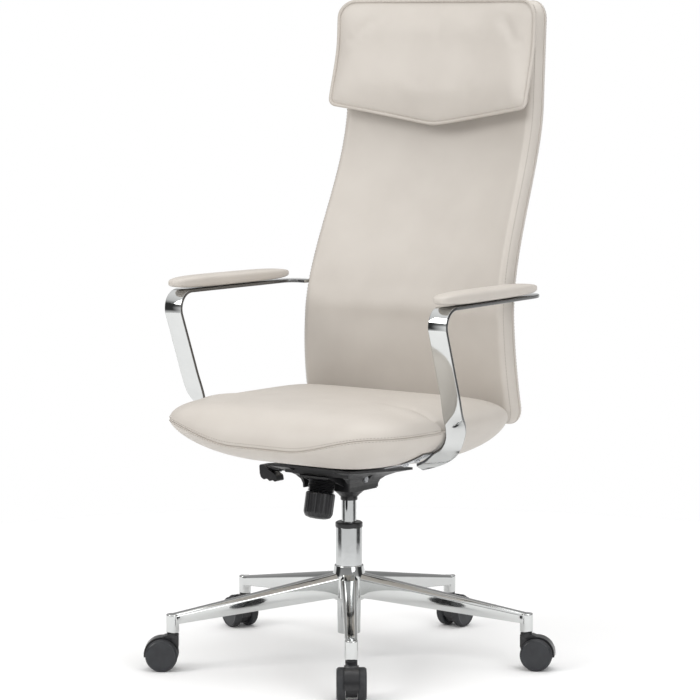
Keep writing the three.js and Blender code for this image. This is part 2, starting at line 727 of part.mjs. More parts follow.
// A screw head under the bracket, square to the plate's slope.
function bracketScrew(x) {
  const slope = Math.atan2(flankUnder(x + 5) - flankUnder(x - 5), 10);
  const under = flankUnder(x) - BRACKET.drop - BRACKET.thickness - 0.8;
  return turned([[0, -3.5], [4, -3.5], [5.5, -1.5], [5.5, 0], [0, 0]], 8)
    .rotateY(-slope)
    .translate(x, -86, under);
}

const SCREWS = { outer: 215, inner: 190 };

for (const [side, sided] of [["left", closed], ["right", mirrored]]) {
  piece(`arm_frame_${side}`, sided(armFrame()), chrome);
  piece(`arm_pad_${side}`, sided(armPad()), leather);
  piece(`arm_bracket_${side}`, sided(armBracket()), steel);
  for (const [place, x] of Object.entries(SCREWS)) {
    piece(`arm_screw_${place}_${side}`, sided(bracketScrew(x)), steel);
  }
}

export default chair;
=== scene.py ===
"""The looks of a high-back swivel office chair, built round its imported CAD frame.

Shapes are worked out in millimetres in the chair's own frame (column axis at the origin, +Z up,
facing -Y) and moved to the row frame, in metres, as each mesh is made.
"""

import math

import bmesh
import bpy
import numpy as np
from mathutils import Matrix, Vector


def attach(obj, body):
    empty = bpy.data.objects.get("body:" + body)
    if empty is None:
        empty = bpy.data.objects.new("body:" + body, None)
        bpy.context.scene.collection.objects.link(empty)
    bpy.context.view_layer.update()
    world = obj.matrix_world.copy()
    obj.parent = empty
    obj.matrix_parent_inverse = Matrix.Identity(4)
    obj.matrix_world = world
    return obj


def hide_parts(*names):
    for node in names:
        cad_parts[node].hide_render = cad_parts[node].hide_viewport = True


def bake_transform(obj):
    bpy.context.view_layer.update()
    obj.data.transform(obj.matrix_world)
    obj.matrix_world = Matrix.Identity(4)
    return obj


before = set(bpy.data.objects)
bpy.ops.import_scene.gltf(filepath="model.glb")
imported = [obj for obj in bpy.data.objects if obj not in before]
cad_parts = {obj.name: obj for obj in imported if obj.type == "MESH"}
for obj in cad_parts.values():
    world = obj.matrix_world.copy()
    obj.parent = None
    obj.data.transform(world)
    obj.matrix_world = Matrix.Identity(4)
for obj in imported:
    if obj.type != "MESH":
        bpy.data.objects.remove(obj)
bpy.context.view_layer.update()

# ---------------------------------------------------------------- driving dimensions, in mm

COLUMN_Y = -28.0
BASE_RADIUS = 345.0
BASE_TURN = 36.7
LEG_TOP = (163.0, 105.0)
LEG_HEIGHT = (45.0, 19.0)
LEG_WIDTH = (33.0, 22.0)
CASTER_TURN = (0, 8, -2, -3, -19)
WHEEL_RADIUS = 30.0
WHEEL_TRAIL = 20.0
WHEEL_INNER = 11.0
WHEEL_OUTER = 27.5

TENSION_Y, TENSION_Z, TENSION_LEAN = -84.0, 349.0, 12.7
LEVER_Z = 346.0

SEAT_HALF_WIDTH = 271.0
SEAT_CENTRE_Y = -60.0
SEAT_FRONT, SEAT_REAR = 221.0, 248.0
SEAT_CROWN = 500.0
SEAM_FRONT, SEAM_SIDE = 430.0, 461.0
PLATE_TOP, SEAT_PITCH = 367.9, 0.078

BACK_BOTTOM, BACK_TOP = 437.0, 1236.0
BACK_HALF = 25.0
BACK_SEAM = 0.28  # where the side seam runs, from -1 at the front to 1 at the rear
BACK_CORNER = 36.0
BACK_ROUND = 24.0

BAR_HALF_WIDTH, BAR_HALF_THICKNESS = 20.0, 3.0
RAIL_Z = 689.0

# The camera turns about the chair's column. Its lens is in mm and the rest in metres and radians.
VIEW_TURN = math.radians(36)
VIEW_FALL = 0.1097
VIEW_DISTANCE = 5.4858
VIEW_SHIFT = (0.0015, 0.0011)
VIEW_HEIGHT = 1.1888
VIEW_LENS = 151.6


def lerp(a, b, t):
    return a + (b - a) * t


def smoothstep(x, low, high):
    t = np.clip((x - low) / (high - low), 0, 1)
    return t * t * (3 - 2 * t)


def heading_of(index):
    return math.radians(BASE_TURN + 72 * index - 90)


# ---------------------------------------------------------------- materials


def shader(name, **values):
    """A new material with its Principled shader's sockets set, and its node tree."""
    made = bpy.data.materials.new(name)
    made.use_nodes = True
    bsdf = made.node_tree.nodes["Principled BSDF"]
    for socket, value in values.items():
        bsdf.inputs[socket.replace("_", " ")].default_value = value
    return made, made.node_tree, bsdf


def add_noise(tree, scale, detail=2.0, kind="ShaderNodeTexNoise"):
    """A procedural texture in the piece's own coordinates."""
    place = tree.nodes.new("ShaderNodeTexCoord")
    texture = tree.nodes.new(kind)
    texture.inputs["Scale"].default_value = scale
    if "Detail" in texture.inputs:
        texture.inputs["Detail"].default_value = detail
    tree.links.new(place.outputs["Object"], texture.inputs["Vector"])
    return texture.outputs["Distance" if kind.endswith("Voronoi") else "Fac"]


def add_range(tree, value, low, high, from_low=0.3, from_high=0.7):
    node = tree.nodes.new("ShaderNodeMapRange")
    node.inputs["From Min"].default_value = from_low
    node.inputs["From Max"].default_value = from_high
    node.inputs["To Min"].default_value = low
    node.inputs["To Max"].default_value = high
    tree.links.new(value, node.inputs["Value"])
    return node.outputs["Result"]


def add_bump(tree, bsdf, layers):
    """Stacks (height, strength, distance) layers into the shader's normal."""
    normal = None
    for height, strength, distance in layers:
        bump = tree.nodes.new("ShaderNodeBump")
        bump.inputs["Strength"].default_value = strength
        bump.inputs["Distance"].default_value = distance
        tree.links.new(height, bump.inputs["Height"])
        if normal is not None:
            tree.links.new(normal, bump.inputs["Normal"])
        normal = bump.outputs["Normal"]
    tree.links.new(normal, bsdf.inputs["Normal"])


def add_tones(tree, bsdf, value, dark, light):
    """Mixes two close tones into the base colour."""
    ramp = tree.nodes.new("ShaderNodeValToRGB")
    ramp.color_ramp.elements[0].position = 0.3
    ramp.color_ramp.elements[1].position = 0.7
    ramp.color_ramp.elements[0].color = (*dark, 1)
    ramp.color_ramp.elements[1].color = (*light, 1)
    tree.links.new(value, ramp.inputs["Fac"])
    tree.links.new(ramp.outputs["Color"], bsdf.inputs["Base Color"])


def leather_material(name, dark, light):
    made, tree, bsdf = shader(name, Roughness=0.46, Specular_IOR_Level=0.42)
    add_tones(tree, bsdf, add_noise(tree, 14, 5), dark, light)
    grain = add_noise(tree, 620, kind="ShaderNodeTexVoronoi")
    pores = add_noise(tree, 1500, 3)
    slack = add_noise(tree, 11, 3)
    add_bump(tree, bsdf, [(slack, 0.10, 0.004), (grain, 0.16, 0.0004), (pores, 0.12, 0.0002)])
    tree.links.new(add_range(tree, add_noise(tree, 240, 4), 0.42, 0.52), bsdf.inputs["Roughness"])
    return made


def metal_material(name, color, smooth, rough, wave_scale, wave):
    made, tree, bsdf = shader(name, Metallic=1.0)
    add_tones(tree, bsdf, add_noise(tree, 30, 2), [0.97 * c for c in color], color)
    tree.links.new(add_range(tree, add_noise(tree, 90, 4), smooth, rough), bsdf.inputs["Roughness"])
    add_bump(tree, bsdf, [(add_noise(tree, wave_scale, 1), wave, 0.002)])
    return made


def plastic_material(name, dark, light, smooth, rough, grain_scale, grain):
    made, tree, bsdf = shader(name, Specular_IOR_Level=0.5)
    add_tones(tree, bsdf, add_noise(tree, 60, 4), dark, light)
    tree.links.new(add_range(tree, add_noise(tree, 180, 4), smooth, rough), bsdf.inputs["Roughness"])
    add_bump(tree, bsdf, [(add_noise(tree, grain_scale, 2), grain, 0.0003)])
    return made


leather = leather_material("leather_greige", (0.535, 0.495, 0.45), (0.565, 0.525, 0.478))
piping = leather_material("leather_piping", (0.50, 0.46, 0.415), (0.53, 0.49, 0.443))
thread = plastic_material("thread", (0.30, 0.27, 0.235), (0.36, 0.325, 0.285), 0.6, 0.75, 900, 0.4)
chrome = metal_material("polished_chrome", (0.62, 0.63, 0.625), 0.05, 0.09, 9, 0.02)
# A dark chrome for the arm bars' narrow edges: painted dark reflection, standing in for the dim surroundings
# that the edges mirror.
chrome_painted_dark_reflection = metal_material("polished_chrome_edge", (0.17, 0.17, 0.17), 0.10, 0.16, 40, 0.03)
chrome_tube = metal_material("drawn_chrome_tube", (0.52, 0.53, 0.53), 0.10, 0.18, 60, 0.02)
zinc = metal_material("zinc_plated_steel", (0.52, 0.53, 0.55), 0.24, 0.40, 220, 0.10)
dark_steel = metal_material("dark_spring_steel", (0.16, 0.16, 0.17), 0.30, 0.45, 260, 0.10)
plastic = plastic_material(
    "black_moulding", (0.008, 0.008, 0.009), (0.013, 0.013, 0.015), 0.29, 0.33, 700, 0.02,
)
wheel_nylon = plastic_material(
    "wheel_nylon", (0.014, 0.015, 0.018), (0.022, 0.024, 0.028), 0.30, 0.35, 500, 0.02,
)
tread = plastic_material(
    "wheel_tread", (0.016, 0.017, 0.019), (0.026, 0.027, 0.030), 0.55, 0.70, 300, 0.25,
)
powder = plastic_material(
    "black_powder_coat", (0.010, 0.010, 0.011), (0.018, 0.018, 0.019), 0.36, 0.50, 1100, 0.30,
)


# ---------------------------------------------------------------- meshes

STITCH_PITCH, STITCH_LENGTH, THREAD_RADIUS = 6.2, 4.6, 0.55
CLOTH_FRAMES = 20


def to_row(points):
    """Points in the chair's frame, in mm, as points in the row frame, in metres."""
    moved = np.array(points, float).reshape(-1, 3)
    return (moved + (0, COLUMN_Y, 0)) / 1000


def add_mesh(name, points, faces):
    """A new mesh from points in the row frame."""
    mesh = bpy.data.meshes.new(name)
    mesh.from_pydata(np.asarray(points).tolist(), [], [list(f) for f in faces])
    return mesh


def add_object(name, data):
    obj = bpy.data.objects.new(name, data)
    bpy.context.scene.collection.objects.link(obj)
    return obj


def shade_smooth(mesh, sharp):
    """Smooth shading, apart from edges sharper than an angle in degrees."""
    mesh.polygons.foreach_set("use_smooth", [True] * len(mesh.polygons))
    mesh.set_sharp_from_angle(angle=math.radians(sharp))


def add_piece(name, points, faces, material, body, slot, replaces=(), sharp=35, weld=True):
    """A smooth-shaded mesh piece that rides on a body, or on none yet."""
    mesh = add_mesh(name, to_row(points), faces)
    obj = add_object(name, mesh)
    if weld:
        tidy_mesh(mesh)
    shade_smooth(mesh, sharp)
    mesh.materials.append(material)
    if body:
        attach(obj, body)
    if replaces:
        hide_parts(*replaces)
    return obj


def tidy_mesh(mesh):
    """Joins coincident points, drops empty faces and turns the faces out."""
    bm = bmesh.new()
    bm.from_mesh(mesh)
    bmesh.ops.remove_doubles(bm, verts=bm.verts, dist=2e-6)
    bmesh.ops.dissolve_degenerate(bm, edges=bm.edges, dist=1e-7)
    bmesh.ops.recalc_face_normals(bm, faces=bm.faces)
    bm.to_mesh(mesh)
    bm.free()


def add_bevel(obj, width, segments=2):
    bevel = obj.modifiers.new("edges", "BEVEL")
    bevel.width = width / 1000
    bevel.segments = segments
    bevel.limit_method = "ANGLE"
    bevel.angle_limit = math.radians(30)


def grid_faces(rows, columns, closed=False, start=0):
    faces = []
    for r in range(rows - 1):
        for c in range(columns if closed else columns - 1):
            a = start + r * columns + c
            b = start + r * columns + (c + 1) % columns
            faces.append((a, b, b + columns, a + columns))
    return faces


def fillet(outline, radius, steps=4, closed=False):
    """The outline with each corner rounded."""
    points = [np.array(p, float) for p in outline]
    count = len(points)
    made = [] if closed else [points[0]]
    for i in range(count) if closed else range(1, count - 1):
        before, corner, after = points[i - 1], points[i], points[(i + 1) % count]
        to_before, to_after = before - corner, after - corner
        near = min(radius, np.linalg.norm(to_before) / 2.05)
        far = min(radius, np.linalg.norm(to_after) / 2.05)
        start = corner + to_before / np.linalg.norm(to_before) * near
        end = corner + to_after / np.linalg.norm(to_after) * far
        for k in range(steps + 1):
            t = k / steps
            made.append((1 - t) ** 2 * start + 2 * t * (1 - t) * corner + t * t * end)
    return made if closed else made + [points[-1]]


def turned(outline, segments=64):
    """Points and faces of a solid turned about Z from [radius, height] points."""
    angles = np.linspace(0, 2 * math.pi, segments, endpoint=False)
    points = [(r * math.cos(a), r * math.sin(a), z) for r, z in outline for a in angles]
    return np.array(points), grid_faces(len(outline), segments, closed=True)


def ring(outline, radius, segments=64):
    """A ring turned about Z from a closed outline with rounded corners."""
    rounded = fillet(outline, radius, closed=True)
    return turned([*rounded, rounded[0]], segments)


def prism(outline, low, high):
    """Points and faces of an [x, z] outline run along Y from low to high."""
    count = len(outline)
    points = [(x, low, z) for x, z in outline] + [(x, high, z) for x, z in outline]
    sides = [(i, (i + 1) % count, (i + 1) % count + count, i + count) for i in range(count)]
    return np.array(points), [*sides, tuple(range(count)), tuple(range(count, 2 * count))]


def swept(frames, section):
    """A bar through (centre, across, face) frames, with a closed section in their plane."""
    points = []
    for centre, across, face in frames:
        points += [centre + across * u + face * v for u, v in section]
    count, last = len(section), len(frames) - 1
    caps = [tuple(range(count)), tuple(last * count + i for i in range(count))]
    return np.array(points), [*grid_faces(len(frames), count, closed=True), *caps]


def turn_z(points, angle):
    c, s = math.cos(angle), math.sin(angle)
    p = np.array(points)
    return np.stack([p[:, 0] * c - p[:, 1] * s, p[:, 0] * s + p[:, 1] * c, p[:, 2]], axis=1)


def to_cross(points):
    """Turns a solid made about Z so that it lies along X."""
    p = np.array(points)
    return np.stack([p[:, 2], p[:, 1], -p[:, 0]], axis=1)


def on_tension_axis(points):
    lean = math.radians(TENSION_LEAN)
    p = np.array(points) - (0, 0, TENSION_Z)
    y = p[:, 1] * math.cos(lean) + p[:, 2] * math.sin(lean)
    z = -p[:, 1] * math.sin(lean) + p[:, 2] * math.cos(lean)
    return np.stack([p[:, 0], y + TENSION_Y, z + TENSION_Z], axis=1)


def mirror_x(points):
    return np.array(points) * (-1, 1, 1)


def tube_along(path, radius, sides=10, closed=False):
    """A round cord through a path of points."""
    path = np.array(path, float)
    count = len(path)
    if closed:
        ahead, behind = np.roll(path, -1, axis=0), np.roll(path, 1, axis=0)
    else:
        ahead, behind = np.vstack([path[1:], path[-1:]]), np.vstack([path[:1], path[:-1]])
    along = ahead - behind
    along /= np.linalg.norm(along, axis=1)[:, None]
    side = np.cross(along, (0, 1, 0.02))
    side /= np.linalg.norm(side, axis=1)[:, None]
    up = np.cross(side, along)
    angles = np.linspace(0, 2 * math.pi, sides, endpoint=False)
    points = [
        p + radius * (math.cos(a) * s + math.sin(a) * u) for p, s, u in zip(path, side, up) for a in angles
    ]
    faces = grid_faces(count, sides, closed=True)
    if closed:
        last = (count - 1) * sides
        faces += [(last + i, last + (i + 1) % sides, (i + 1) % sides, i) for i in range(sides)]
    else:
        faces += [tuple(range(sides)), tuple((count - 1) * sides + i for i in range(sides))]
    return np.array(points), faces


def resample(path, pitch):
    """Distances a pitch apart along a path, and the distance at which each of its points lies."""
    steps = np.linalg.norm(np.diff(path, axis=0), axis=1)
    reached = np.concatenate([[0], np.cumsum(steps)])
    count = max(2, int(reached[-1] / pitch))
    wanted = np.linspace(0, reached[-1], count)
    return wanted, reached


def stitches(name, path, normals):
    """A row of thread stitches along a path on the seat or back, each bowed out of the leather."""
    path, normals = np.array(path, float), np.array(normals, float)
    wanted, reached = resample(path, STITCH_PITCH)
    end, shares, sides = reached[-1], (0.0, 0.2, 0.5, 0.8, 1.0), 6

    def along_path(values, distance):
        return np.array([np.interp(distance, reached, values[:, k]) for k in range(3)])

    points, faces = [], []
    for start in wanted[:-1]:
        first = len(points)
        for share in shares:
            at = min(start + STITCH_LENGTH * share, end)
            centre = along_path(path, at)
            step = along_path(path, min(at + 1, end)) - along_path(path, max(at - 1, 0))
            along = step / max(np.linalg.norm(step), 1e-9)
            normal = along_path(normals, at)
            normal = normal / max(np.linalg.norm(normal), 1e-9)
            across = np.cross(along, normal)
            rise = THREAD_RADIUS * (1.5 * math.sin(math.pi * share) - 0.9)
            size = THREAD_RADIUS * (0.45 + 0.55 * math.sin(math.pi * share))
            for k in range(sides):
                turn = 2 * math.pi * k / sides
                out = normal * (rise + size * math.sin(turn))
                points.append(centre + out + across * size * math.cos(turn))
        faces += grid_faces(len(shares), sides, closed=True, start=first)
        faces += [tuple(range(first, first + sides)), tuple(range(len(points) - sides, len(points)))]
    add_piece(name, points, faces, thread, "seat_assembly", "leather", weld=False, sharp=80)


def inflate(points, faces, pinned, pressure, cap):
    """Blows a coarse skin up with cloth and returns its points, none moved further than the cap."""
    start = np.array(points, float)
    mesh = add_mesh("skin", start / 1000, faces)
    obj = add_object("skin", mesh)
    group = obj.vertex_groups.new(name="pinned")
    for i, weight in enumerate(pinned):
        if weight > 0:
            group.add([i], float(weight), "REPLACE")
    cloth = obj.modifiers.new("cloth", "CLOTH")
    settings = cloth.settings
    settings.quality = 6
    settings.mass = 0.3
    settings.tension_stiffness = 15
    settings.compression_stiffness = 15
    settings.shear_stiffness = 5
    settings.bending_stiffness = 2
    settings.use_pressure = True
    settings.uniform_pressure_force = pressure
    settings.vertex_group_mass = "pinned"
    settings.effector_weights.gravity = 0
    cloth.collision_settings.use_collision = False
    scene = bpy.context.scene
    scene.frame_start, scene.frame_end = 1, CLOTH_FRAMES
    cloth.point_cache.frame_start, cloth.point_cache.frame_end = 1, CLOTH_FRAMES
    for number in range(1, CLOTH_FRAMES + 1):
        scene.frame_set(number)
    evaluated = obj.evaluated_get(bpy.context.evaluated_depsgraph_get())
    moved = np.zeros(len(start) * 3)
    evaluated.data.vertices.foreach_get("co", moved)
    moved = moved.reshape(-1, 3) * 1000
    bpy.data.objects.remove(obj)
    bpy.data.meshes.remove(mesh)
    scene.frame_set(1)
    shift = moved - start
    far = np.maximum(np.linalg.norm(shift, axis=1), 1e-9)
    return start + shift * (cap * np.tanh(far / cap) / far)[:, None]


def spread(values, rows, columns):
    """A coarse [row, column] grid of points enlarged to more rows and columns by cubic curves."""
    grid = np.array(values, float)
    for axis, count in ((0, rows), (1, columns)):
        grid = np.moveaxis(grid, axis, 0)
        at = np.linspace(0, len(grid) - 1, count)
        i = np.clip(at.astype(int), 0, len(grid) - 2)
        t = (at - i)[:, None, None]
        p0, p1 = grid[np.maximum(i - 1, 0)], grid[i]
        p2, p3 = grid[i + 1], grid[np.minimum(i + 2, len(grid) - 1)]
        square = 2 * p0 - 5 * p1 + 4 * p2 - p3
        cube = 3 * p1 - p0 - 3 * p2 + p3
        grid = 0.5 * (2 * p1 + (p2 - p0) * t + square * t**2 + cube * t**3)
        grid = np.moveaxis(grid, 0, axis)
    return grid


def pressed(grid, coarse, rim, flip, pressure, cap):
    """A skin moved as cloth pressure moves a coarse copy of it, whose rim rows and columns stay put."""
    picked = spread(grid, *coarse)
    pinned = np.ones(coarse)
    pinned[rim[0] : -rim[0], rim[1] : -rim[1]] = 0
    faces = grid_faces(*coarse)
    if flip:
        faces = [f[::-1] for f in faces]
    blown = inflate(picked.reshape(-1, 3), faces, pinned.ravel(), pressure, cap)
    return grid + spread(blown.reshape(picked.shape) - picked, *grid.shape[:2])


def grid_normals(grid, wrap=False):
    """Unit normals of a [row, column] grid of points."""
    down = np.gradient(grid, axis=0)
    if wrap:
        across = (np.roll(grid, -1, axis=1) - np.roll(grid, 1, axis=1)) / 2
    else:
        across = np.gradient(grid, axis=1)
    normal = np.cross(down, across)
    return normal / np.maximum(np.linalg.norm(normal, axis=2), 1e-9)[:, :, None]


# ---------------------------------------------------------------- base


def combine(target, others, operation="UNION"):
    """Joins or cuts solids with the boolean modifier, and applies it."""
    for other in others:
        modifier = target.modifiers.new("join", "BOOLEAN")
        modifier.operation = operation
        modifier.solver = "EXACT"
        modifier.object = other
    bpy.context.view_layer.update()
    evaluated = target.evaluated_get(bpy.context.evaluated_depsgraph_get())
    mesh = bpy.data.meshes.new_from_object(evaluated)
    target.modifiers.clear()
    target.data = mesh
    for other in others:
        bpy.data.objects.remove(other)
    shade_smooth(mesh, 32)


def loose_solid(points, faces):
    """A solid for combine to use up."""
    mesh = add_mesh("solid", to_row(points), faces)
    tidy_mesh(mesh)
    return add_object("solid", mesh)


# A leg's section, with its width and height as shares.
LEG_SHAPE = [(-0.46, 0), (0.46, 0), (0.5, 0.78), (0.32, 1), (-0.32, 1), (-0.5, 0.78)]
LEG_START = 26.0


def leg_solid(heading):
    """A leg from inside the hub to its caster's socket, narrower and lower towards the end."""
    stations = 15
    points = []
    for t in np.linspace(0, 1, stations):
        width, height, top = lerp(*LEG_WIDTH, t), lerp(*LEG_HEIGHT, t), lerp(*LEG_TOP, t)
        outline = fillet([(u * width, (v - 1) * height) for u, v in LEG_SHAPE], 1.6, 3, closed=True)
        points += [(lerp(LEG_START, BASE_RADIUS, t), u, top + v) for u, v in outline]
    count = len(points) // stations
    faces = grid_faces(stations, count, closed=True)
    faces += [tuple(range(count)), tuple(range(len(points) - count, len(points)))]
    return turn_z(points, heading), faces


def build_base():
    hub = fillet([(0, 112), (28.5, 112), (31, 116), (31, 159), (27.6, 178), (0, 178)], 1.8)
    star = add_piece("base_star_chrome", *turned(hub, 96), chrome, "base", "chrome_base", ["base_star"])
    parts = []
    socket = fillet([(0, 70), (12, 70), (12, 105), (0, 105)], 2.4)
    for i in range(5):
        points, faces = turned(socket, 40)
        parts.append(loose_solid(turn_z(points + (BASE_RADIUS, 0, 0), heading_of(i)), faces))
        parts.append(loose_solid(*leg_solid(heading_of(i))))
    combine(star, parts)
    bore = [(0, 110), (22.5, 110), (25.3, 165), (25.3, 180), (0, 180)]
    combine(star, [loose_solid(*turned(bore, 96))], "DIFFERENCE")


build_base()


# ---------------------------------------------------------------- casters


def arc(centre, radius, start, end, count):
    turns = [math.radians(lerp(start, end, k / (count - 1))) for k in range(count)]
    return [(centre[0] + radius * math.cos(t), centre[1] + radius * math.sin(t)) for t in turns]


def hood_web():
    hub = (WHEEL_TRAIL, WHEEL_RADIUS)
    behind, ahead = arc(hub, 24, 205, 360, 16), arc(hub, 31, 0, 72, 12)
    return prism([(-11, 66), (-11, 44), (-5, 22), *behind, *ahead, (13, 66)], -10.4, 10.4)


def hood_guard():
    hub = (WHEEL_TRAIL, WHEEL_RADIUS)
    return prism([*arc(hub, 33.4, -8, 96, 22), *arc(hub, 31, 96, -8, 22)], -13, 13)


def wheel_solids(side):
    """The nylon wheel and its tread, on the side that is +1 or -1 along the axle."""
    disc = [
        (4.3, WHEEL_INNER), (28.6, WHEEL_INNER), (28.6, WHEEL_OUTER - 2.2), (26.4, WHEEL_OUTER - 0.4),
        (24.6, WHEEL_OUTER - 1.1), (9, WHEEL_OUTER - 0.5), (0, WHEEL_OUTER - 0.3),
    ]
    band = [
        (28.6, WHEEL_INNER + 0.6), (WHEEL_RADIUS, WHEEL_INNER + 2.2),
        (WHEEL_RADIUS, WHEEL_OUTER - 4.6), (28.6, WHEEL_OUTER - 2.4),
    ]
    made = []
    for points, faces in (turned(fillet(disc, 0.8), 56), ring(band, 0.8, 56)):
        x, y, z = points.T
        made.append((np.stack([x + WHEEL_TRAIL, z * side, y + WHEEL_RADIUS], axis=1), faces))
    return made


def build_casters():
    for i in range(5):
        n = i + 1
        heading = heading_of(i)
        turn = heading + math.radians(CASTER_TURN[i])
        stem = np.array((BASE_RADIUS * math.cos(heading), BASE_RADIUS * math.sin(heading), 0))
        body = f"caster_{n}"
        web, guard = hood_web(), hood_guard()
        collar = turned(fillet([(0, 58), (11, 58), (11, 69.4), (0, 69.4)], 1.2), 40)
        hood = add_piece(
            f"caster_hood_{n}_moulded", turn_z(web[0], turn) + stem, web[1], plastic, body, "black_plastic",
            [f"caster_hood_{n}"],
        )
        combine(hood, [loose_solid(turn_z(p, turn) + stem, f) for p, f in (guard, collar)])
        add_bevel(hood, 0.7)
        for side, name in ((1, "left"), (-1, "right")):
            (disc, disc_faces), (band, band_faces) = wheel_solids(side)
            wheel_body = f"wheel_{name}_{n}"
            add_piece(
                f"caster_wheel_{name}_{n}_disc", turn_z(disc, turn) + stem, disc_faces, wheel_nylon,
                wheel_body, "wheel_plastic", [f"caster_wheel_{name}_{n}"],
            )
            add_piece(
                f"caster_wheel_{name}_{n}_tread", turn_z(band, turn) + stem, band_faces, tread, wheel_body,
                "wheel_plastic",
            )


build_casters()


# ---------------------------------------------------------------- gas lift

TUBE = [
    (5.5, 48), (21.5, 48), (22.2, 111), (25, 165), (25, 250),
    (21.1, 250), (21.1, 165), (18.5, 111), (18.5, 52), (5.5, 52),
]
BUSH = [(14.3, 182), (20.8, 182), (20.8, 250.3), (25.8, 250.3), (25.8, 258), (23.5, 260), (14.3, 260)]
CYLINDER = [(5.3, 98), (14, 98), (14, 335), (3.8, 335), (3.8, 318), (11.5, 318), (11.5, 104), (5.3, 104)]
COLLAR = [(14.3, 301.5), (16, 301.5), (16, 309), (14.3, 309)]

add_piece("lift_tube_chrome", *ring(TUBE, 0.7, 96), chrome_tube, "base", "chrome_tube", ["lift_outer_tube"])
add_piece("lift_bush_moulded", *ring(BUSH, 0.8, 80), plastic, "base", "black_plastic", ["lift_guide_bush"])
add_piece(
    "lift_cylinder_chrome", *ring(CYLINDER, 0.5, 80), chrome_tube, "mechanism", "chrome_tube",
    ["lift_pressure_tube"],
)
add_piece(
    "lift_collar_moulded", *ring(COLLAR, 0.6, 80), plastic, "mechanism", "black_plastic", ["lift_collar"],
)


# ---------------------------------------------------------------- mechanism

def paint(material, *nodes):
    """Gives CAD nodes a better material."""
    for node in nodes:
        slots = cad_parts[node].data.materials
        slots.clear()
        slots.append(material)


paint(powder, "mechanism_housing", "seat_plate", "lever_yoke", "lever_rod")
paint(dark_steel, "tension_bolt")
paint(zinc, "tilt_axle", "lift_thrust_bearing", "lift_piston_rod", "lift_retaining_clip", "lift_valve_pin")
paint(zinc, *(f"caster_{part}_{n}" for part in ("stem", "axle") for n in range(1, 6)))
add_bevel(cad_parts["mechanism_housing"], 1.0, 3)
add_bevel(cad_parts["seat_plate"], 0.8)


# Heights along the tension axis, which is upright where the shapes on it are made.
BOOT_LOW, BOOT_HIGH = 326.4, 349.4
SPRING_LOW, SPRING_HELD, SPRING_HIGH = 295.0, 312.0, 349.5  # the spring's low end, a middle height and its high end
SPRING_WIRE = 2.2


def boot_outline():
    """A bellows with eight folds."""
    folds, steps = 8, 8
    outer = []
    for i in range(folds * steps + 1):
        swell = abs(math.sin(math.pi * i / steps))
        outer.append((21.4 + 3.8 * swell, lerp(BOOT_LOW, BOOT_HIGH, i / (folds * steps))))
    return [*outer, (19.5, BOOT_HIGH), (19.5, BOOT_LOW), outer[0]]


def knob_solid():
    """A round knob with sixteen flutes and a domed, rounded foot."""
    corners = [
        (0, 276), (14, 276.6), (23.5, 279.6), (27.4, 287), (27.4, 323.5), (25.2, 326),
        (19.5, 326), (19.5, 292), (5.3, 292), (5.3, 280.6), (0, 280.6),
    ]
    outline = fillet(corners, 2.2, 5)
    outline = [outline[0], *[p for a, b in zip(outline, outline[1:]) for p in (lerp(a, b, 0.5), b)]]
    points, faces = turned(outline, 192)
    angle = np.arctan2(points[:, 1], points[:, 0])
    radius = np.hypot(points[:, 0], points[:, 1])
    groove = (0.5 + 0.5 * np.cos(16 * angle)) ** 5
    depth = 1.7 * groove * smoothstep(points[:, 2], 280, 288) * (radius > 22)
    points[:, :2] *= ((radius - depth) / np.maximum(radius, 1e-6))[:, None]
    return points, faces


def spring_path():
    """A compression spring's centre line, with its end turns closed up."""
    path = []
    for i in range(241):
        share = i / 240
        height = lerp(SPRING_LOW + 1.5, SPRING_HIGH - 2, smoothstep(share, -0.12, 1.12))
        turn = 2 * math.pi * 6.5 * share
        path.append((14 * math.cos(turn), 14 * math.sin(turn), height))
    return path


def join_tilt(piece):
    """Bakes a piece's transform into its mesh."""
    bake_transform(piece)


def build_tension():
    points, faces = turned(boot_outline(), 72)
    boot = add_piece(
        "spring_boot_bellows", on_tension_axis(points), faces, plastic, None, "black_plastic",
        ["spring_boot"], sharp=75,
    )
    join_tilt(boot)
    points, faces = tube_along(on_tension_axis(spring_path()), SPRING_WIRE, 12)
    spring = add_piece(
        "tension_spring_coil", points, faces, dark_steel, None, "plain_steel", ["tension_spring"], sharp=60,
    )
    join_tilt(spring)
    points, faces = knob_solid()
    add_piece(
        "tension_knob_fluted", on_tension_axis(points), faces, plastic, "knob", "black_plastic",
        ["tension_knob"], sharp=60,
    )


build_tension()

PADDLE = [
    (-205, 349), (-203, 352), (-196, 352), (-182, 343), (-164, 333), (-162, 323), (-168, 321), (-173, 324),
    (-180, 321), (-187, 326), (-194, 323), (-201, 327), (-204, 334),
]
paddle = add_piece(
    "lever_paddle_grip", *prism(fillet(PADDLE, 2.2, 4, closed=True), -11, 11), plastic, "lever_handle",
    "black_plastic", ["lever_paddle"],
)
neck_points, neck_faces = turned(fillet([(0, -200), (6, -200), (6, -160), (0, -160)], 1.0), 32)
combine(paddle, [loose_solid(to_cross(neck_points) + (0, 0, LEVER_Z), neck_faces)])
add_bevel(paddle, 1.6, 3)


# ---------------------------------------------------------------- seat


def seat_reach(angle):
    in_front = np.sin(angle) < 0
    depth = np.where(in_front, SEAT_FRONT, SEAT_REAR)
    power = np.where(in_front, 4.2, 9.0)
    across = np.abs(np.cos(angle)) / SEAT_HALF_WIDTH
    along = np.abs(np.sin(angle)) / depth
    return (across**power + along**power) ** (-1 / power)


def seat_seam(x, y):
    to_side = np.maximum(smoothstep(np.abs(x), 60, 240), smoothstep(y, -200, -40))
    return lerp(SEAM_FRONT, SEAM_SIDE, to_side)


